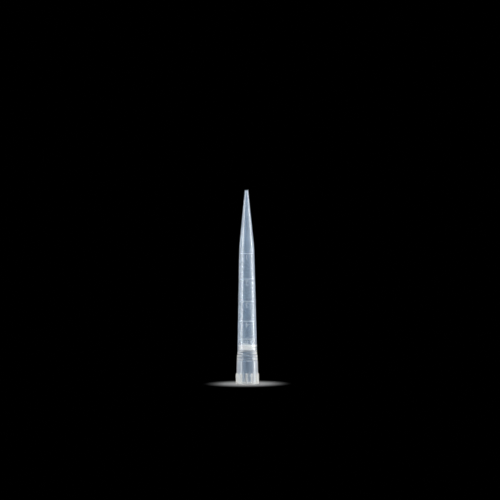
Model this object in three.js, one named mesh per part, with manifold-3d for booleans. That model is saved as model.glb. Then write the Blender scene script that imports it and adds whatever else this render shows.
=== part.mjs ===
// A 5 ml filter tip for an air-displacement pipette, standing on its collar with the point up.
//
// It is two pieces. The body is one polypropylene moulding: a long barrel with raised graduation
// marks runs into a narrow point, and below the barrel a grooved shoulder leads to the socket,
// whose open end has a rim and a ribbed collar. The filter is a disc of sintered polyethylene
// pressed into the bore just above the socket.
//
// Millimetres, +Z up. The origin is the centre of the socket's open end, and the graduations
// face -Y.

import * as THREE from "three";
import { mergeVertices } from "three/addons/utils/BufferGeometryUtils.js";
import Module from "manifold-3d";

// Lengths along the axis, from the open end to the point.
const SOCKET_LENGTH = 18.85;
const BARREL_LENGTH = 69.55;
const POINT_LENGTH = 36.6;

// Outside diameters.
const MOUTH_DIAMETER = 14.25; // of the socket at its open end
const SOCKET_DIAMETER = 13.25; // of the socket just under the shoulder
const BARREL_DIAMETER = 12.65; // of the barrel just above it
const KNEE_DIAMETER = 9.55; // where the barrel turns into the point
const POINT_DIAMETER = 2.1;

// Walls, which set the bore.
const MOUTH_WALL = 1;
const BARREL_WALL = 0.73;
const KNEE_WALL = 0.65;
const POINT_WALL = 0.45;

// Edges.
const LEAD_IN = 0.35; // chamfer inside the open end
const RIM_EDGE = 0.2;
const POINT_EDGE = 0.1;

// Collar: a plain rim, with upright ribs standing on it.
const RIM_DIAMETER = 15.1;
const RIM_HEIGHT = 1.5;
const RIB_COUNT = 12;
const RIB_DIAMETER = 14.95; // across the crests of the ribs
const RIB_WIDTH = 1.2;
const RIB_TOP = 7; // height at which the ribs have run out into the socket
const RIB_RUN_OUT = 0.6;
const RIB_TURN = THREE.MathUtils.degToRad(-4.5); // of the front rib from -Y

// V grooves round the shoulder. The step from the socket to the barrel lies in one of them.
const GROOVES_ABOVE_STEP = 1;
const GROOVES_BELOW_STEP = 2;
const GROOVE_PITCH = 1.9;
const GROOVE_WIDTH = 0.9;
const GROOVE_DEPTH = 0.3;

// Filter.
const FILTER_RISE = 2.9; // from the shoulder to its underside
const FILTER_THICKNESS = 3.25;
const FILTER_EDGE = 0.25;
const FILTER_CLEARANCE = 0.05; // all round, between the pressed-in filter and the bore

// Graduation marks: a raised arc for each whole millilitre between the filter and the point.
const MARK_VOLUME = 1000; // cubic millimetres from one mark to the next
const MARK_WIDTH = 0.5;
const MARK_CREST = 0.2; // width left flat between the sloping flanks
const MARK_RISE = 0.15;
const MARK_SPAN = THREE.MathUtils.degToRad(108);

// Fineness.
const SEGMENTS = 72; // round the axis
const ARC_SEGMENTS = 6; // round a rib's crest, or along the sector that the marks fill
const ROOT = 0.3; // how far marks and ribs start inside the wall that carries them
const MERGE_TOLERANCE = 1e-4;

const KNEE_HEIGHT = SOCKET_LENGTH + BARREL_LENGTH;
const TIP_HEIGHT = KNEE_HEIGHT + POINT_LENGTH;
const FILTER_FOOT = SOCKET_LENGTH + FILTER_RISE;
const FILTER_TOP = FILTER_FOOT + FILTER_THICKNESS;

// ---- Outside and bore ----------------------------------------------------------------------

const SOCKET = [
  [0, MOUTH_DIAMETER / 2],
  [SOCKET_LENGTH, SOCKET_DIAMETER / 2],
];

const BARREL = [
  [SOCKET_LENGTH, BARREL_DIAMETER / 2],
  [KNEE_HEIGHT, KNEE_DIAMETER / 2],
  [TIP_HEIGHT, POINT_DIAMETER / 2],
];

const BORE = [
  [0, MOUTH_DIAMETER / 2 - MOUTH_WALL],
  [SOCKET_LENGTH, BARREL_DIAMETER / 2 - BARREL_WALL],
  [KNEE_HEIGHT, KNEE_DIAMETER / 2 - KNEE_WALL],
  [TIP_HEIGHT, POINT_DIAMETER / 2 - POINT_WALL],
];

// The radius at a height on straight lines through [height, radius] stations.
function radiusOn(stations, height) {
  const next = Math.max(1, stations.findIndex(([station]) => station >= height));
  const [[low, lowRadius], [high, highRadius]] = stations.slice(next - 1, next + 1);
  return THREE.MathUtils.mapLinear(height, low, high, lowRadius, highRadius);
}

const socketRadius = (height) => radiusOn(SOCKET, height);
const barrelRadius = (height) => radiusOn(BARREL, height);
const boreRadius = (height) => radiusOn(BORE, height);

// ---- Solids --------------------------------------------------------------------------------

// Turns an outline of [radius, height] points about the Z axis.
function revolve(outline) {
  const points = outline.map(([radius, height]) => new THREE.Vector2(radius, height));
  return new THREE.LatheGeometry(points, SEGMENTS).rotateX(Math.PI / 2);
}

// Raises a plan outline along +Z.
function raise(plan, height) {
  const settings = { depth: height, bevelEnabled: false, curveSegments: ARC_SEGMENTS };
  return new THREE.ExtrudeGeometry(plan, settings);
}

// A solid for joining and cutting, from a closed geometry.
function solidOf(geometry) {
  geometry.deleteAttribute("normal");
  geometry.deleteAttribute("uv");
  const merged = mergeVertices(geometry, MERGE_TOLERANCE);
  const vertProperties = merged.getAttribute("position").array;
  const triVerts = new Uint32Array(merged.index.array);
  return new wasm.Manifold(new wasm.Mesh({ numProp: 3, vertProperties, triVerts }));
}

function geometryOf(solid) {
  const { vertProperties, triVerts } = solid.getMesh();
  const geometry = new THREE.BufferGeometry();
  geometry.setAttribute("position", new THREE.BufferAttribute(vertProperties, 3));
  geometry.setIndex(new THREE.BufferAttribute(triVerts, 1));
  geometry.computeVertexNormals();
  return geometry;
}

const joined = (solids) => solids.reduce((whole, solid) => whole.add(solid));

// ---- Body ----------------------------------------------------------------------------------

// The outline of one V groove: the outside below it, its bottom and the outside above it.
function grooveOutline(height) {
  const outside = (z) => (z < SOCKET_LENGTH ? socketRadius(z) : barrelRadius(z));
  const below = height - GROOVE_WIDTH / 2;
  const above = height + GROOVE_WIDTH / 2;
  const bottom = Math.min(outside(below), outside(above)) - GROOVE_DEPTH;
  return [
    [outside(below), below],
    [bottom, height],
    [outside(above), above],
  ];
}

function shoulderOutline() {
  const outline = [];
  for (let i = -GROOVES_BELOW_STEP; i <= GROOVES_ABOVE_STEP; i += 1) {
    outline.push(...grooveOutline(SOCKET_LENGTH + i * GROOVE_PITCH));
  }
  return outline;
}

// The plain moulding: up its outside from the open end, over the point and down the bore.
function shell() {
  const rim = RIM_DIAMETER / 2;
  const point = POINT_DIAMETER / 2;
  return revolve([
    [boreRadius(0) + LEAD_IN, 0],
    [rim - RIM_EDGE, 0],
    [rim, RIM_EDGE],
    [rim, RIM_HEIGHT - RIM_EDGE],
    [rim - RIM_EDGE, RIM_HEIGHT],
    [socketRadius(RIM_HEIGHT), RIM_HEIGHT],
    ...shoulderOutline(),
    [barrelRadius(KNEE_HEIGHT), KNEE_HEIGHT],
    [barrelRadius(TIP_HEIGHT - POINT_EDGE), TIP_HEIGHT - POINT_EDGE],
    [point - POINT_EDGE, TIP_HEIGHT],
    [boreRadius(TIP_HEIGHT), TIP_HEIGHT],
    [boreRadius(KNEE_HEIGHT), KNEE_HEIGHT],
    [boreRadius(SOCKET_LENGTH), SOCKET_LENGTH],
    [boreRadius(LEAD_IN), LEAD_IN],
    [boreRadius(0) + LEAD_IN, 0],
  ]);
}

// A round-crested bar that stands upright and points along -Y.
function ribBar() {
  const half = RIB_WIDTH / 2;
  const crestCentre = half - RIB_DIAMETER / 2;
  const plan = new THREE.Shape();
  plan.moveTo(half, 0);
  plan.lineTo(-half, 0);
  plan.lineTo(-half, crestCentre);
  plan.absarc(0, crestCentre, half, Math.PI, 2 * Math.PI);
  plan.closePath();
  return raise(plan, RIB_TOP);
}

// The ring that holds the ribs: from the rim up, run out into the socket at the top.
function ribRing() {
  const crest = RIB_DIAMETER / 2;
  const foot = RIM_HEIGHT / 2;
  return revolve([
    [socketRadius(foot) - ROOT, foot],
    [crest, foot],
    [crest, RIB_TOP - RIB_RUN_OUT],
    [socketRadius(RIB_TOP), RIB_TOP],
    [socketRadius(RIB_TOP) - ROOT, RIB_TOP],
    [socketRadius(foot) - ROOT, foot],
  ]);
}

function ribs() {
  const bars = [];
  for (let i = 0; i < RIB_COUNT; i += 1) {
    const turn = RIB_TURN + (i * 2 * Math.PI) / RIB_COUNT;
    bars.push(solidOf(ribBar().rotateZ(turn)));
  }
  return joined(bars).intersect(solidOf(ribRing()));
}

// Volume of the bore from a height to the point.
function volumeAbove(height) {
  let volume = 0;
  let low = height;
  for (const [high] of BORE.filter(([station]) => station > height)) {
    const a = boreRadius(low);
    const b = boreRadius(high);
    volume += (Math.PI * (high - low) * (a * a + a * b + b * b)) / 3;
    low = high;
  }
  return volume;
}

// The height above which the bore holds a volume, found by halving.
function heightHolding(volume) {
  let low = 0;
  let high = TIP_HEIGHT;
  while (high - low > MERGE_TOLERANCE) {
    const middle = (low + high) / 2;
    if (volumeAbove(middle) > volume) low = middle;
    else high = middle;
  }
  return low;
}

// A raised ring round the barrel.
function markRing(height) {
  const inside = barrelRadius(height) - ROOT;
  const crest = barrelRadius(height) + MARK_RISE;
  return revolve([
    [inside, height - MARK_WIDTH / 2],
    [barrelRadius(height), height - MARK_WIDTH / 2],
    [crest, height - MARK_CREST / 2],
    [crest, height + MARK_CREST / 2],
    [barrelRadius(height), height + MARK_WIDTH / 2],
    [inside, height + MARK_WIDTH / 2],
    [inside, height - MARK_WIDTH / 2],
  ]);
}

// An upright wedge round -Y, to keep only the front of the mark rings.
function markSector() {
  const reach = BARREL_DIAMETER;
  const start = (-Math.PI - MARK_SPAN) / 2;
  const plan = new THREE.Shape();
  plan.moveTo(0, 0);
  plan.lineTo(reach * Math.cos(start), reach * Math.sin(start));
  plan.absarc(0, 0, reach, start, start + MARK_SPAN);
  plan.closePath();
  return raise(plan, TIP_HEIGHT);
}

function marks() {
  const count = Math.floor(volumeAbove(FILTER_TOP) / MARK_VOLUME);
  const rings = [];
  for (let i = 1; i <= count; i += 1) {
    rings.push(solidOf(markRing(heightHolding(i * MARK_VOLUME))));
  }
  return joined(rings).intersect(solidOf(markSector()));
}

function tipBody() {
  const solid = solidOf(shell()).add(ribs()).add(marks());
  const material = new THREE.MeshStandardMaterial({
    color: 0xc3d6e8,
    roughness: 0.25,
    metalness: 0,
    transparent: true,
    opacity: 0.45,
  });
  const mesh = new THREE.Mesh(geometryOf(solid), material);
  mesh.name = "tip_body";
  return mesh;
}

// ---- Filter --------------------------------------------------------------------------------

function filter() {
  const side = (height) => boreRadius(height) - FILTER_CLEARANCE;
  const disc = revolve([
    [0, FILTER_FOOT],
    [side(FILTER_FOOT) - FILTER_EDGE, FILTER_FOOT],
    [side(FILTER_FOOT + FILTER_EDGE), FILTER_FOOT + FILTER_EDGE],
    [side(FILTER_TOP - FILTER_EDGE), FILTER_TOP - FILTER_EDGE],
    [side(FILTER_TOP) - FILTER_EDGE, FILTER_TOP],
    [0, FILTER_TOP],
  ]);
  const material = new THREE.MeshStandardMaterial({
    color: 0xeceff0,
    roughness: 0.9,
    metalness: 0,
  });
  const mesh = new THREE.Mesh(disc, material);
  mesh.name = "filter";
  return mesh;
}

const wasm = await Module();
wasm.setup();

const pipetteTip = new THREE.Group();
pipetteTip.name = "pipette_tip";
pipetteTip.add(tipBody(), filter());

export default pipetteTip;
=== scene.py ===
import math

import bmesh
import bpy
from mathutils import Matrix, Vector


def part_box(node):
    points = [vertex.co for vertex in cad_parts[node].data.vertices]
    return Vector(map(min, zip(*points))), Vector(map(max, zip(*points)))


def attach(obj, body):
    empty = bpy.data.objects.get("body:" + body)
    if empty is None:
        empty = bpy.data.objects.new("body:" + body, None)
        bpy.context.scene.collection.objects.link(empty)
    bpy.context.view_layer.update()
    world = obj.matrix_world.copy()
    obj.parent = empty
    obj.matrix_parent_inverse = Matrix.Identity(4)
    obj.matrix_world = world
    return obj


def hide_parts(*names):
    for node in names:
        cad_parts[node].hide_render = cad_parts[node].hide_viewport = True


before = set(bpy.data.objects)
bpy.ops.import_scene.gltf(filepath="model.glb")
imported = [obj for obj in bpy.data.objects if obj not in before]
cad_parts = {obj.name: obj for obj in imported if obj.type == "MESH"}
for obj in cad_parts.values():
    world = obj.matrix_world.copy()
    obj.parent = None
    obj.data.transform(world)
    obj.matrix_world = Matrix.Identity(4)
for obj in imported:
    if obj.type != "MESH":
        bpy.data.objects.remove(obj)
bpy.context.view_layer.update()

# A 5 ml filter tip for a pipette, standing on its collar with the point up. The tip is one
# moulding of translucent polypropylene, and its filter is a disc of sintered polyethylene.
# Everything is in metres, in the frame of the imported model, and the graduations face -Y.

MM = 0.001
FULL_TURN = 2 * math.pi
_, tip_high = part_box("tip_body")
filter_low, filter_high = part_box("filter")

# ---- Sizes of the moulding ------------------------------------------------------------------

TIP_HEIGHT = tip_high.z
SHOULDER = 18.85 * MM
KNEE = 88.4 * MM

MOUTH_RADIUS = 7.125 * MM
SOCKET_RADIUS = 6.625 * MM
BARREL_RADIUS = 6.325 * MM
KNEE_RADIUS = 4.775 * MM
POINT_RADIUS = 1.05 * MM

MOUTH_WALL = 1 * MM
BARREL_WALL = 0.73 * MM
KNEE_WALL = 0.65 * MM
POINT_WALL = 0.45 * MM

LEAD_IN = 0.35 * MM
RIM_RADIUS = tip_high.x
RIM_HEIGHT = 1.5 * MM

RIB_COUNT = 12
RIB_CREST = 7.475 * MM
RIB_WIDTH = 1.2 * MM
RIB_DRAFT = 0.1 * MM  # how much wider a rib is at its root, on each side
RIB_TOP = 7 * MM
RIB_RUN_OUT = 0.6 * MM
RIB_TURN = math.radians(-4.5)

GROOVES = (-2, -1, 0, 1)  # places along the pitch, counted up from the shoulder
GROOVE_PITCH = 1.9 * MM
GROOVE_WIDTH = 0.9 * MM
GROOVE_DEPTH = 0.3 * MM

MARK_VOLUME = 1e-6  # cubic metres from one graduation to the next
MARK_COUNT = 5
MARK_WIDTH = 0.5 * MM
MARK_CREST = 0.24 * MM
MARK_RISE = 0.15 * MM
MARK_SPAN = math.radians(108)

GROOVED_FROM = SHOULDER - 2.5 * GROOVE_PITCH  # below it the socket is plain
THICK_TOP = SHOULDER + 1.5 * GROOVE_PITCH  # above it the wall is thin, and clearer

NUMERAL_HEIGHT = 3.3 * MM
NUMERAL_GAP = 0.55 * MM  # from a graduation to its numeral
NUMERAL_RISE = 0.15 * MM
NUMERAL_STRIP = 0.25 * MM  # a numeral is cut into strips this wide to follow the wall

# How far a rounding reaches along its edge's two sides
MOUTH_ROUND = 0.12 * MM
RIM_ROUND = 0.3 * MM
RIM_TOP_ROUND = 0.25 * MM
RIM_FILLET = 0.12 * MM
GROOVE_LIP_ROUND = 0.25 * MM
GROOVE_ROOT_ROUND = 0.08 * MM
KNEE_ROUND = 2 * MM
POINT_ROUND = 0.12 * MM
POINT_BORE_ROUND = 0.06 * MM
BORE_SHOULDER_ROUND = 1 * MM
LEAD_IN_ROUND = 0.1 * MM
RIB_ROUND = 0.4 * MM
RIB_TOP_ROUND = 0.25 * MM
MARK_ROUND = 0.06 * MM
FILTER_ROUND = 0.25 * MM

ROOT = 0.2 * MM  # how far ribs, marks and numerals start inside the wall
TURNS = 240  # facets round the axis
ROUND_FACETS = 4  # across a rounding
CREST_FACETS = 8  # across each rounding of a rib's crest
LETTER_FACETS = 4
LONGEST_FACET = 3 * MM
LONGEST_FILTER_FACET = 1 * MM
SAME_PLACE = MM / 1000  # verts closer than this are merged
SAME_TEXT_PLACE = 1e-4  # the same in lettering that is still one unit large
HEIGHT_ERROR = 1e-7  # how near a graduation's height is found

# ---- Outside and bore -----------------------------------------------------------------------

SOCKET = [(0, MOUTH_RADIUS), (SHOULDER, SOCKET_RADIUS)]
BARREL = [(SHOULDER, BARREL_RADIUS), (KNEE, KNEE_RADIUS), (TIP_HEIGHT, POINT_RADIUS)]
BORE = [
    (0, MOUTH_RADIUS - MOUTH_WALL),
    (SHOULDER, BARREL_RADIUS - BARREL_WALL),
    (KNEE, KNEE_RADIUS - KNEE_WALL),
    (TIP_HEIGHT, POINT_RADIUS - POINT_WALL),
]


def radius_on(stations, height):
    """The radius at a height on straight lines through (height, radius) stations.

    Past the last station it stays on the last line."""
    for (low, low_radius), (high, high_radius) in zip(stations, stations[1:]):
        if height <= high:
            break
    return low_radius + (high_radius - low_radius) * (height - low) / (high - low)


def outside_radius(height):
    return radius_on(SOCKET if height < SHOULDER else BARREL, height)


def bore_radius(height):
    return radius_on(BORE, height)


def volume_above(height):
    """What the bore holds from a height up to the point."""
    volume, low = 0.0, height
    for high, high_radius in BORE:
        if high > low:
            a, b = bore_radius(low), high_radius
            volume += math.pi * (high - low) * (a * a + a * b + b * b) / 3
            low = high
    return volume


def height_holding(volume):
    """The height above which the bore holds a volume, found by halving."""
    low, high = 0.0, TIP_HEIGHT
    while high - low > HEIGHT_ERROR:
        middle = (low + high) / 2
        if volume_above(middle) > volume:
            low = middle
        else:
            high = middle
    return low


# ---- Making meshes --------------------------------------------------------------------------


def new_piece(name, bm, materials):
    """An object from a bmesh, at the origin, with its materials in slots."""
    mesh = bpy.data.meshes.new(name)
    bm.to_mesh(mesh)
    bm.free()
    piece = bpy.data.objects.new(name, mesh)
    bpy.context.scene.collection.objects.link(piece)
    for material in materials:
        mesh.materials.append(material)
    return piece


def shade_smooth(piece, crisp):
    """Smooth shading, with edges sharper than an angle in degrees left crisp."""
    for face in piece.data.polygons:
        face.use_smooth = True
    piece.data.set_sharp_from_angle(angle=math.radians(crisp))


def draw_outline(bm, corners, longest, closed):
    """Draws an outline on the -Y side of the axis, rounds its corners and cuts its long edges."""
    verts = [bm.verts.new((0, -radius, height)) for radius, height, _ in corners]
    for a, b in zip(verts, verts[1:] + verts[:1]):
        if closed or b is not verts[0]:
            bm.edges.new((a, b))
    for vert, (_, _, reach) in zip(verts, corners):
        if reach:
            bmesh.ops.bevel(
                bm, geom=[vert], offset=reach, offset_type="OFFSET", affect="VERTICES",
                segments=ROUND_FACETS, profile=0.5, material=-1,
            )
    for edge in bm.edges[:]:
        cuts = int(edge.calc_length() / longest)
        if cuts:
            bmesh.ops.subdivide_edges(bm, edges=[edge], cuts=cuts)


def turn_outline(bm, corners, angle=FULL_TURN, steps=TURNS, longest=LONGEST_FACET, closed=True):
    """Turns an outline about Z. A corner is (radius, height, how far its rounding reaches).

    An outline that isn't closed starts and ends on the axis. Less than a full turn is centred
    on -Y and gets flat ends."""
    draw_outline(bm, corners, longest, closed)
    full = angle == FULL_TURN
    start = Matrix.Rotation(0 if full else -angle / 2, 3, "Z")
    bmesh.ops.rotate(bm, verts=bm.verts[:], cent=(0, 0, 0), matrix=start)
    first = bm.edges[:]
    made = bmesh.ops.spin(
        bm, geom=bm.verts[:] + first, cent=(0, 0, 0), axis=(0, 0, 1), angle=angle,
        steps=steps, use_merge=full,
    )
    if not full:
        bmesh.ops.contextual_create(bm, geom=first)
        last = [e for e in made["geom_last"] if isinstance(e, bmesh.types.BMEdge)]
        bmesh.ops.contextual_create(bm, geom=last)
    if not closed:
        bmesh.ops.remove_doubles(bm, verts=bm.verts[:], dist=SAME_PLACE)
    bmesh.ops.recalc_face_normals(bm, faces=bm.faces[:])


# ---- The moulding ---------------------------------------------------------------------------

CLEAR, THICK, COLLAR, RIDGE, GROOVE, RIM = range(6)  # its finishes, as its slots are ordered


def moulding_shell():
    """The plain moulding: up the outside from the open end, over the point, down the bore."""
    corners = [
        (bore_radius(0) + LEAD_IN, 0, MOUTH_ROUND),
        (RIM_RADIUS, 0, RIM_ROUND),
        (RIM_RADIUS, RIM_HEIGHT, RIM_TOP_ROUND),
        (outside_radius(RIM_HEIGHT), RIM_HEIGHT, RIM_FILLET),
    ]
    for place in GROOVES:
        middle = SHOULDER + place * GROOVE_PITCH
        low, high = middle - GROOVE_WIDTH / 2, middle + GROOVE_WIDTH / 2
        bottom = min(outside_radius(low), outside_radius(high)) - GROOVE_DEPTH
        corners += [
            (outside_radius(low), low, GROOVE_LIP_ROUND),
            (bottom, middle, GROOVE_ROOT_ROUND),
            (outside_radius(high), high, GROOVE_LIP_ROUND),
        ]
    corners += [
        (KNEE_RADIUS, KNEE, KNEE_ROUND),
        (POINT_RADIUS, TIP_HEIGHT, POINT_ROUND),
        (bore_radius(TIP_HEIGHT), TIP_HEIGHT, POINT_BORE_ROUND),
        (bore_radius(KNEE), KNEE, KNEE_ROUND),
        (bore_radius(SHOULDER), SHOULDER, BORE_SHOULDER_ROUND),
        (bore_radius(LEAD_IN), LEAD_IN, LEAD_IN_ROUND),
    ]
    bm = bmesh.new()
    turn_outline(bm, corners)
    for face in bm.faces:
        face.material_index = finish_of(face)
    return bm


def finish_of(face):
    """Which of the moulding's finishes a face of the plain shell has."""
    middle = face.calc_center_median()
    outside = face.normal.x * middle.x + face.normal.y * middle.y > 0
    if middle.z < RIM_HEIGHT + RIM_FILLET:
        return RIM
    if middle.z < RIB_TOP:
        return COLLAR
    if middle.z > THICK_TOP:
        return CLEAR
    if middle.z < GROOVED_FROM or not outside:
        return THICK
    # Grooves take the painted-shade copy, the ridges between them the painted-highlight copy
    from_groove = min(abs(middle.z - SHOULDER - place * GROOVE_PITCH) for place in GROOVES)
    return GROOVE if from_groove < GROOVE_WIDTH / 2 else RIDGE


def draw_rib(bm):
    """An upright bar on the collar at -Y, with a rounded crest, that runs out at its top."""
    root = outside_radius(RIB_TOP) - ROOT
    foot = RIM_HEIGHT / 2
    half = RIB_WIDTH / 2
    plan = [
        (half + RIB_DRAFT, -root),
        (-half - RIB_DRAFT, -root),
        (-half, -RIB_CREST),
        (half, -RIB_CREST),
    ]
    verts = [bm.verts.new((x, y, foot)) for x, y in plan]
    bm.faces.new(verts)
    bmesh.ops.bevel(
        bm, geom=verts[2:], offset=RIB_ROUND, offset_type="OFFSET", affect="VERTICES",
        segments=CREST_FACETS, profile=0.5, material=-1,
    )
    raised = bmesh.ops.extrude_face_region(bm, geom=bm.faces[:])
    top = [v for v in raised["geom"] if isinstance(v, bmesh.types.BMVert)]
    bmesh.ops.translate(bm, verts=top, vec=(0, 0, RIB_TOP + RIB_RUN_OUT - foot))
    run_out_low = Vector((0, -RIB_CREST, RIB_TOP - RIB_RUN_OUT))
    run_out_high = Vector((0, -outside_radius(RIB_TOP), RIB_TOP))
    slope = (run_out_high - run_out_low).normalized()
    cut = bmesh.ops.bisect_plane(
        bm, geom=bm.verts[:] + bm.edges[:] + bm.faces[:], plane_co=run_out_low,
        plane_no=Vector((0, -slope.z, slope.y)), clear_outer=True,
    )
    cut_edge = [e for e in cut["geom_cut"] if isinstance(e, bmesh.types.BMEdge)]
    bmesh.ops.contextual_create(bm, geom=cut_edge)
    bmesh.ops.bevel(
        bm, geom=cut_edge, offset=RIB_TOP_ROUND, offset_type="OFFSET", affect="EDGES",
        segments=ROUND_FACETS, profile=0.5, material=-1,
    )


def collar_ribs():
    """The ring of ribs: one of them, turned into its place and repeated round the axis."""
    bm = bmesh.new()
    draw_rib(bm)
    bmesh.ops.rotate(
        bm, verts=bm.verts[:], cent=(0, 0, 0), matrix=Matrix.Rotation(RIB_TURN, 3, "Z"),
    )
    bmesh.ops.spin(
        bm, geom=bm.verts[:] + bm.edges[:] + bm.faces[:], cent=(0, 0, 0), axis=(0, 0, 1),
        angle=FULL_TURN * (RIB_COUNT - 1) / RIB_COUNT, steps=RIB_COUNT - 1,
        use_duplicate=True,
    )
    bmesh.ops.recalc_face_normals(bm, faces=bm.faces[:])
    return bm


def graduation_mark(bm, height):
    """A raised arc across the front of the barrel, with sloping flanks."""
    inside = outside_radius(height) - ROOT
    low, high = height - MARK_WIDTH / 2, height + MARK_WIDTH / 2
    crest = outside_radius(height) + MARK_RISE
    mark = bmesh.new()
    turn_outline(
        mark,
        [
            (inside, low, 0),
            (outside_radius(low), low, 0),
            (crest, height - MARK_CREST / 2, MARK_ROUND),
            (crest, height + MARK_CREST / 2, MARK_ROUND),
            (outside_radius(high), high, 0),
            (inside, high, 0),
        ],
        angle=MARK_SPAN, steps=int(TURNS * MARK_SPAN / FULL_TURN),
    )
    add_to(bm, mark)


def add_to(bm, other):
    """Adds the mesh of one bmesh to another."""
    mesh = bpy.data.meshes.new("part_of_piece")
    other.to_mesh(mesh)
    other.free()
    bm.from_mesh(mesh)
    bpy.data.meshes.remove(mesh)


def flat_lettering(text, height):
    """Letters lying in the XY plane, centred on X, with their feet at Y = 0.

    They reach from a root below the plane to their rise above it. As text they are one unit
    large and thick, and then they are scaled."""
    curve = bpy.data.curves.new("lettering", "FONT")
    curve.body = text
    curve.align_x = "CENTER"
    curve.size = 1
    curve.resolution_u = LETTER_FACETS
    curve.extrude = 0.5
    letters = bpy.data.objects.new("lettering", curve)
    bpy.context.scene.collection.objects.link(letters)
    bpy.context.view_layer.update()
    mesh = bpy.data.meshes.new_from_object(letters)
    bpy.data.objects.remove(letters)
    bpy.data.curves.remove(curve)
    bm = bmesh.new()
    bm.from_mesh(mesh)
    bpy.data.meshes.remove(mesh)
    bmesh.ops.remove_doubles(bm, verts=bm.verts[:], dist=SAME_TEXT_PLACE)
    tall = max(v.co.y for v in bm.verts)
    scale = height / tall
    bmesh.ops.scale(bm, verts=bm.verts[:], vec=(scale, scale, NUMERAL_RISE + ROOT))
    bmesh.ops.translate(bm, verts=bm.verts[:], vec=(0, 0, (NUMERAL_RISE - ROOT) / 2))
    return bm


def wrap_lettering(bm, lettering, height):
    """Bends flat lettering round the wall, so that it reads upright when the point is down."""
    reach = max(v.co.x for v in lettering.verts)
    strips = math.ceil(reach / NUMERAL_STRIP)
    for i in range(-strips, strips + 1):
        bmesh.ops.bisect_plane(
            lettering, geom=lettering.verts[:] + lettering.edges[:] + lettering.faces[:],
            plane_co=(i * NUMERAL_STRIP, 0, 0), plane_no=(1, 0, 0),
        )
    for vert in lettering.verts:
        z = height - vert.co.y
        turn = vert.co.x / outside_radius(height)
        radius = outside_radius(z) + vert.co.z
        vert.co = (-radius * math.sin(turn), -radius * math.cos(turn), z)
    add_to(bm, lettering)


def graduations():
    """A raised mark and its numeral for each whole millilitre, and the unit after the last."""
    bm = bmesh.new()
    for count in range(1, MARK_COUNT + 1):
        height = height_holding(count * MARK_VOLUME)
        graduation_mark(bm, height)
        text = str(count) if count < MARK_COUNT else f"{count} ml"
        lettering = flat_lettering(text, NUMERAL_HEIGHT)
        wrap_lettering(bm, lettering, height - MARK_WIDTH / 2 - NUMERAL_GAP)
    return bm


def filter_disc():
    """The porous disc that is pressed into the bore, with rounded edges."""
    bm = bmesh.new()
    radius = filter_high.x
    outline = [
        (0, filter_low.z, 0),
        (radius, filter_low.z, FILTER_ROUND),
        (radius, filter_high.z, FILTER_ROUND),
        (0, filter_high.z, 0),
    ]
    turn_outline(bm, outline, closed=False, longest=LONGEST_FILTER_FACET)
    return bm


def join_raised(piece, raised_parts):
    """Joins the raised parts to a piece as one skin."""
    for part in raised_parts:
        join = piece.modifiers.new("join", "BOOLEAN")
        join.operation = "UNION"
        join.object = part
        join.solver = "MANIFOLD"
        join.material_mode = "TRANSFER"
    graph = bpy.context.evaluated_depsgraph_get()
    mesh = bpy.data.meshes.new_from_object(piece.evaluated_get(graph))
    piece.modifiers.clear()
    piece.data = mesh
    for part in raised_parts:
        bpy.data.objects.remove(part)


# ---- Finishes -------------------------------------------------------------------------------

PLASTIC_TINT = (0.97, 0.98, 0.99, 1)
PLASTIC_IOR = 1.49
SHEEN_TINT = (1, 0.94, 0.86, 1)
SHEEN_ROUGHNESS = 0.4
ROUGHNESS_SPREAD = 0.022  # of the fine speckle in the finish
CLOUD_SHADE = 0.8  # how dark a haze is at its darkest, against its colour
CLOUDS_PER_METRE = 260
CLOUD_DETAIL = 3
FLOW_STRETCH = 0.12  # the haze is drawn out along the tip, the way the plastic flowed
PEEL_PER_METRE = 1600
PEEL_DETAIL = 2
# Milk-white painted where the plastic slants away: painted sheen, partly a longer path through
# the wall
PAINTED_SHEEN_WHITE = (0.95, 0.93, 0.88, 1)
PAINTED_SHEEN_FROM = 0.08  # how far a surface has turned away where the painted sheen starts
PAINTED_SHEEN_FULL = 0.6  # and where the painted sheen is at its full share
LAMP_LIGHT_THROUGH = 0.95  # the share of a lamp's light that one skin of the plastic lets by

BEAD_WHITE = (0.98, 0.96, 0.91, 1)
# painted shade in the gaps between the beads
BEAD_GAP_SHADE = (0.86, 0.84, 0.8, 1)
BEAD_IOR = 1.5
BEAD_SPECULAR = 0.3
BEAD_PITS = 0.01 * MM
BEADS_PER_METRE = 5500
PATCHES_PER_METRE = 500
PATCH_DETAIL = 3
PATCH_SHARE = 0.12  # how much the patches colour the beads
PATCH_SMOOTHEST = 0.7
PATCH_ROUGHEST = 0.95


def new_material(name):
    """A material, its nodes and its links."""
    material = bpy.data.materials.new(name)
    material.use_nodes = True
    return material, material.node_tree.nodes, material.node_tree.links


def mix_shaders(nodes, links, first, second, share):
    """Mixes two shaders. share, of the second, is a number or the output of a node."""
    mix = nodes.new("ShaderNodeMixShader")
    if isinstance(share, bpy.types.NodeSocket):
        links.new(share, mix.inputs[0])
    else:
        mix.inputs[0].default_value = share
    links.new(first.outputs[0], mix.inputs[1])
    links.new(second.outputs[0], mix.inputs[2])
    return mix


def cloudy_haze(nodes, links, place, haze_colour):
    """The haze in the plastic: a diffuse colour, in clouds drawn out along the tip."""
    along_the_flow = nodes.new("ShaderNodeMapping")
    along_the_flow.inputs["Scale"].default_value = (1, 1, FLOW_STRETCH)
    clouds = nodes.new("ShaderNodeTexNoise")
    clouds.inputs["Scale"].default_value = CLOUDS_PER_METRE
    clouds.inputs["Detail"].default_value = CLOUD_DETAIL
    colour = nodes.new("ShaderNodeMix")
    colour.data_type = "RGBA"
    colour.inputs["A"].default_value = (*haze_colour, 1)
    colour.inputs["B"].default_value = (*(CLOUD_SHADE * share for share in haze_colour), 1)
    hazy = nodes.new("ShaderNodeBsdfDiffuse")
    links.new(place.outputs["Object"], along_the_flow.inputs["Vector"])
    links.new(along_the_flow.outputs["Vector"], clouds.inputs["Vector"])
    links.new(clouds.outputs["Fac"], colour.inputs["Factor"])
    links.new(colour.outputs["Result"], hazy.inputs["Color"])
    return hazy


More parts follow.
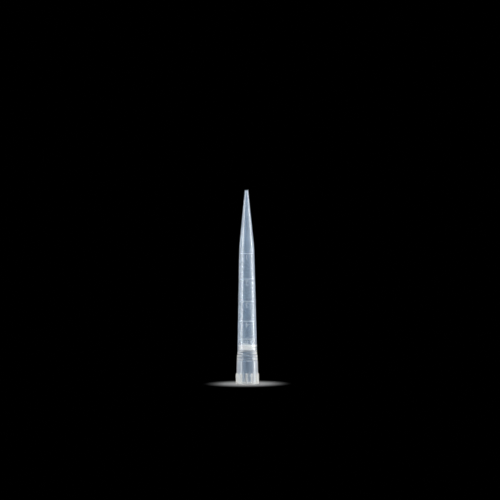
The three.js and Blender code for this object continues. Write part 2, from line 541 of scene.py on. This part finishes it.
def speckled_roughness(nodes, links, place, roughness):
    """A roughness with a fine even speckle in it."""
    speckle = nodes.new("ShaderNodeTexWhiteNoise")
    dull = nodes.new("ShaderNodeMapRange")
    dull.inputs["To Min"].default_value = roughness - ROUGHNESS_SPREAD
    dull.inputs["To Max"].default_value = roughness + ROUGHNESS_SPREAD
    links.new(place.outputs["Object"], speckle.inputs["Vector"])
    links.new(speckle.outputs["Value"], dull.inputs["Value"])
    return dull


def orange_peel(nodes, links, place, grain):
    """The slight unevenness of a moulded surface."""
    peel = nodes.new("ShaderNodeTexNoise")
    peel.inputs["Scale"].default_value = PEEL_PER_METRE
    peel.inputs["Detail"].default_value = PEEL_DETAIL
    bump = nodes.new("ShaderNodeBump")
    bump.inputs["Strength"].default_value = 1
    bump.inputs["Distance"].default_value = grain
    links.new(place.outputs["Object"], peel.inputs["Vector"])
    links.new(peel.outputs["Fac"], bump.inputs["Height"])
    return bump


def milky_where_slanting(nodes, links, plastic, bump, most):
    """Milk-white where the plastic turns away: painted sheen, partly a longer look through the
    wall.
    """
    slant = nodes.new("ShaderNodeLayerWeight")
    slant.inputs["Blend"].default_value = 0.5
    painted_sheen_share = nodes.new("ShaderNodeMapRange")
    painted_sheen_share.inputs["From Min"].default_value = PAINTED_SHEEN_FROM
    painted_sheen_share.inputs["From Max"].default_value = PAINTED_SHEEN_FULL
    painted_sheen_share.inputs["To Min"].default_value = 0
    painted_sheen_share.inputs["To Max"].default_value = most
    painted_sheen = nodes.new("ShaderNodeBsdfDiffuse")
    painted_sheen.inputs["Color"].default_value = PAINTED_SHEEN_WHITE
    links.new(slant.outputs["Facing"], painted_sheen_share.inputs["Value"])
    links.new(bump.outputs["Normal"], painted_sheen.inputs["Normal"])
    return mix_shaders(nodes, links, plastic, painted_sheen, painted_sheen_share.outputs["Result"])


def open_to_lamps(nodes, links, plastic):
    """Lets most of a lamp's light by, so that what is inside or behind is lit."""
    path = nodes.new("ShaderNodeLightPath")
    let_through = nodes.new("ShaderNodeMath")
    let_through.operation = "MULTIPLY"
    let_through.inputs[1].default_value = LAMP_LIGHT_THROUGH
    opening = nodes.new("ShaderNodeBsdfTransparent")
    links.new(path.outputs["Is Shadow Ray"], let_through.inputs[0])
    return mix_shaders(nodes, links, plastic, opening, let_through.outputs[0])


def polypropylene(
    name, haze, haze_colour, roughness, grain, sheen, gloss, gloss_roughness, edge_painted_sheen=0
):
    """Translucent plastic: clear, with a haze in it, and open in part to the lamps.

    haze is its share of the surface, grain is how deep the orange peel is, and gloss is the
    smooth skin that the mould leaves. edge_painted_sheen is the most painted sheen laid on at a
    slant."""
    material, nodes, links = new_material(name)
    body = nodes["Principled BSDF"]
    body.inputs["Base Color"].default_value = PLASTIC_TINT
    body.inputs["IOR"].default_value = PLASTIC_IOR
    body.inputs["Transmission Weight"].default_value = 1
    body.inputs["Sheen Weight"].default_value = sheen
    body.inputs["Sheen Roughness"].default_value = SHEEN_ROUGHNESS
    body.inputs["Sheen Tint"].default_value = SHEEN_TINT
    body.inputs["Coat Weight"].default_value = gloss
    body.inputs["Coat Roughness"].default_value = gloss_roughness

    place = nodes.new("ShaderNodeTexCoord")
    hazy = cloudy_haze(nodes, links, place, haze_colour)
    dull = speckled_roughness(nodes, links, place, roughness)
    bump = orange_peel(nodes, links, place, grain)
    links.new(dull.outputs["Result"], body.inputs["Roughness"])
    links.new(bump.outputs["Normal"], body.inputs["Normal"])
    links.new(bump.outputs["Normal"], hazy.inputs["Normal"])

    plastic = mix_shaders(nodes, links, body, hazy, haze)
    if edge_painted_sheen:
        plastic = milky_where_slanting(nodes, links, plastic, bump, edge_painted_sheen)
    surface = open_to_lamps(nodes, links, plastic)
    links.new(surface.outputs[0], nodes["Material Output"].inputs["Surface"])
    return material


def sintered_polyethylene():
    """White beads melted together at their edges: pitted, matt, a little uneven in colour,
    painted shade between.
    """
    material, nodes, links = new_material("sintered_polyethylene")
    shader = nodes["Principled BSDF"]
    shader.inputs["IOR"].default_value = BEAD_IOR
    shader.inputs["Specular IOR Level"].default_value = BEAD_SPECULAR

    place = nodes.new("ShaderNodeTexCoord")
    beads = nodes.new("ShaderNodeTexVoronoi")
    beads.inputs["Scale"].default_value = BEADS_PER_METRE
    patches = nodes.new("ShaderNodeTexNoise")
    patches.inputs["Scale"].default_value = PATCHES_PER_METRE
    patches.inputs["Detail"].default_value = PATCH_DETAIL
    links.new(place.outputs["Object"], beads.inputs["Vector"])
    links.new(place.outputs["Object"], patches.inputs["Vector"])

    # Darker towards the gaps between the beads: painted shade in the pores
    beads_and_gap_shade = nodes.new("ShaderNodeMix")
    beads_and_gap_shade.data_type = "RGBA"
    beads_and_gap_shade.inputs["A"].default_value = BEAD_WHITE
    beads_and_gap_shade.inputs["B"].default_value = BEAD_GAP_SHADE
    links.new(beads.outputs["Distance"], beads_and_gap_shade.inputs["Factor"])
    patch_colour = nodes.new("ShaderNodeMix")
    patch_colour.data_type = "RGBA"
    patch_colour.blend_type = "MULTIPLY"
    patch_colour.inputs["Factor"].default_value = PATCH_SHARE
    links.new(beads_and_gap_shade.outputs["Result"], patch_colour.inputs["A"])
    links.new(patches.outputs["Color"], patch_colour.inputs["B"])
    links.new(patch_colour.outputs["Result"], shader.inputs["Base Color"])

    dull = nodes.new("ShaderNodeMapRange")
    dull.inputs["To Min"].default_value = PATCH_SMOOTHEST
    dull.inputs["To Max"].default_value = PATCH_ROUGHEST
    links.new(patches.outputs["Fac"], dull.inputs["Value"])
    links.new(dull.outputs["Result"], shader.inputs["Roughness"])

    bump = nodes.new("ShaderNodeBump")
    bump.invert = True
    bump.inputs["Strength"].default_value = 1
    bump.inputs["Distance"].default_value = BEAD_PITS
    links.new(beads.outputs["Distance"], bump.inputs["Height"])
    links.new(bump.outputs["Normal"], shader.inputs["Normal"])
    return material


# ---- The pieces -----------------------------------------------------------------------------

clear = polypropylene(
    "clear_polypropylene", haze=0.11, haze_colour=(0.5, 0.72, 1), roughness=0.257,
    grain=0.002 * MM, sheen=0.28, gloss=0.6, gloss_roughness=0.13,
)
thick_wall = dict(
    haze=0.1, haze_colour=(0.45, 0.68, 1), roughness=0.31, grain=0.003 * MM, gloss=0.9,
    gloss_roughness=0.1,
)
# Painted sheen at a slant: a little on the socket, more on the collar, most on the ridges
thick = polypropylene("thick_polypropylene", sheen=0.95, edge_painted_sheen=0.08, **thick_wall)
collar = polypropylene("collar_polypropylene", sheen=0.95, edge_painted_sheen=0.4, **thick_wall)
# Ridges: a lit copy with a painted highlight at their sides. Grooves: less sheen, painted shade.
ridge_painted_highlight = polypropylene("ridge_painted_highlight_polypropylene", sheen=0.8, edge_painted_sheen=0.85, **thick_wall)
groove_painted_shade = polypropylene("groove_painted_shade_polypropylene", sheen=0.2, **thick_wall)
ribbed = polypropylene(
    "ribbed_polypropylene", haze=0.37, haze_colour=(0.95, 0.95, 0.92), roughness=0.31,
    grain=0.003 * MM, sheen=1, gloss=0.8, gloss_roughness=0.1,
)
frosted = polypropylene(
    "frosted_polypropylene", haze=0.48, haze_colour=(0.85, 0.93, 1), roughness=0.4,
    grain=0.008 * MM, sheen=0.1, gloss=0.5, gloss_roughness=0.15,
)

tip = new_piece("tip_moulding", moulding_shell(), [clear, thick, collar, ridge_painted_highlight, groove_painted_shade, ribbed])
ribs = new_piece("collar_ribs", collar_ribs(), [ribbed])
marks = new_piece("graduations", graduations(), [frosted])
join_raised(tip, [ribs, marks])
shade_smooth(tip, crisp=35)
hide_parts("tip_body")
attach(tip, "root")

disc = new_piece("filter_disc", filter_disc(), [sintered_polyethylene()])
shade_smooth(disc, crisp=50)
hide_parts("filter")
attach(disc, "root")

# ---- Floor, light and camera ----------------------------------------------------------------

FLOOR_RADIUS = 0.16
FLOOR_FACETS = 128
FLOOR_GREY = (0.3, 0.3, 0.3, 1)
FLOOR_PALE = 0.004  # how far out the painted pool of light stays pale
FLOOR_GONE = 0.03  # where the painted pool of light has faded into the dark

BLACK = (0, 0, 0, 1)
FILL_COLOUR = (0.92, 0.96, 1, 1)
FILL_STRENGTH = 0.62

NEUTRAL = (1, 1, 1)
WARM = (1, 0.985, 0.94)
LAMPS = [
    # name, degrees from -Y towards +X, distance, height, (width, length), watts, colour
    ("right_softbox", 88, 0.45, 0.16, (0.07, 0.5), 1.45, WARM),
    ("left_softbox", -68, 0.5, 0.16, (0.07, 0.5), 1, WARM),
    ("front_softbox", 15, 0.5, 0.45, (0.3, 0.3), 1.4, NEUTRAL),
    ("left_rim_light", -140, 0.5, 0.16, (0.3, 0.5), 0.15, NEUTRAL),
    ("right_rim_light", 140, 0.5, 0.16, (0.3, 0.5), 0.15, NEUTRAL),
]

CAMERA_DISTANCE = 0.898
CAMERA_HEIGHT = 0.0736
CAMERA_AIM = Vector((0.0021, 0, 0.08633))
CAMERA_ROLL = math.radians(-0.27)
CAMERA_LENS = 100  # in millimetres, as the sensor is
CAMERA_SENSOR = 36


def seen_directly(nodes, links):
    """1 where the camera sees a surface directly, in a reflection or through the plastic."""
    path = nodes.new("ShaderNodeLightPath")
    direct_or_reflected = nodes.new("ShaderNodeMath")
    direct_or_reflected.operation = "MAXIMUM"
    or_through = nodes.new("ShaderNodeMath")
    or_through.operation = "MAXIMUM"
    links.new(path.outputs["Is Camera Ray"], direct_or_reflected.inputs[0])
    links.new(path.outputs["Is Glossy Ray"], direct_or_reflected.inputs[1])
    links.new(direct_or_reflected.outputs[0], or_through.inputs[0])
    links.new(path.outputs["Is Transmission Ray"], or_through.inputs[1])
    return or_through.outputs[0]


def make_floor():
    """A floor round the tip with a painted pool of light, pale near the tip and fading into the
    dark.
    """
    material, nodes, links = new_material("studio_floor")
    shader = nodes["Principled BSDF"]
    shader.inputs["Roughness"].default_value = 0.9
    shader.inputs["Specular IOR Level"].default_value = 0
    place = nodes.new("ShaderNodeTexCoord")
    length = nodes.new("ShaderNodeVectorMath")
    length.operation = "LENGTH"
    painted_pool = nodes.new("ShaderNodeMapRange")
    painted_pool.interpolation_type = "SMOOTHERSTEP"
    painted_pool.inputs["From Min"].default_value = FLOOR_PALE
    painted_pool.inputs["From Max"].default_value = FLOOR_GONE
    painted_pool.inputs["To Min"].default_value = 1
    painted_pool.inputs["To Max"].default_value = 0
    pale = nodes.new("ShaderNodeMath")
    pale.operation = "MULTIPLY"
    tint = nodes.new("ShaderNodeMix")
    tint.data_type = "RGBA"
    tint.inputs["A"].default_value = BLACK
    tint.inputs["B"].default_value = FLOOR_GREY
    links.new(place.outputs["Object"], length.inputs[0])
    links.new(length.outputs["Value"], painted_pool.inputs["Value"])
    links.new(painted_pool.outputs["Result"], pale.inputs[0])
    links.new(seen_directly(nodes, links), pale.inputs[1])
    links.new(pale.outputs[0], tint.inputs["Factor"])
    links.new(tint.outputs["Result"], shader.inputs["Base Color"])
    bm = bmesh.new()
    bmesh.ops.create_circle(bm, cap_ends=True, segments=FLOOR_FACETS, radius=FLOOR_RADIUS)
    floor = new_piece("floor", bm, [material])


def make_world():
    """Dark to the eye and in reflections, but a soft even fill on the object."""
    world = bpy.data.worlds.new("studio")
    bpy.context.scene.world = world
    world.use_nodes = True
    nodes, links = world.node_tree.nodes, world.node_tree.links
    nodes.clear()
    fill = nodes.new("ShaderNodeBackground")
    fill.inputs["Color"].default_value = FILL_COLOUR
    fill.inputs["Strength"].default_value = FILL_STRENGTH
    dark = nodes.new("ShaderNodeBackground")
    dark.inputs["Color"].default_value = BLACK
    mix = mix_shaders(nodes, links, fill, dark, seen_directly(nodes, links))
    output = nodes.new("ShaderNodeOutputWorld")
    links.new(mix.outputs[0], output.inputs["Surface"])


def make_lamp(name, degrees, distance, height, size, watts, colour):
    """A soft box that faces the middle of the tip."""
    data = bpy.data.lights.new(name, "AREA")
    data.shape = "RECTANGLE"
    data.size, data.size_y = size
    data.energy = watts
    data.color = colour
    lamp = bpy.data.objects.new(name, data)
    turn = math.radians(degrees)
    place = Vector((math.sin(turn) * distance, -math.cos(turn) * distance, height))
    lamp.location = place
    aim = Vector((0, 0, TIP_HEIGHT / 2)) - place
    lamp.rotation_euler = aim.to_track_quat("-Z", "Y").to_euler()
    bpy.context.scene.collection.objects.link(lamp)


def make_camera():
    """A long lens in front of the tip, aimed slightly upwards."""
    data = bpy.data.cameras.new("camera")
    data.lens = CAMERA_LENS
    data.sensor_width = CAMERA_SENSOR
    camera = bpy.data.objects.new("camera", data)
    camera.location = (CAMERA_AIM.x, -CAMERA_DISTANCE, CAMERA_HEIGHT)
    look = (CAMERA_AIM - camera.location).to_track_quat("-Z", "Y").to_matrix()
    camera.rotation_euler = (look @ Matrix.Rotation(CAMERA_ROLL, 3, "Z")).to_euler()
    bpy.context.scene.collection.objects.link(camera)
    bpy.context.scene.camera = camera


make_floor()
make_world()
for lamp in LAMPS:
    make_lamp(*lamp)
make_camera()
bpy.context.scene.view_settings.view_transform = "Standard"
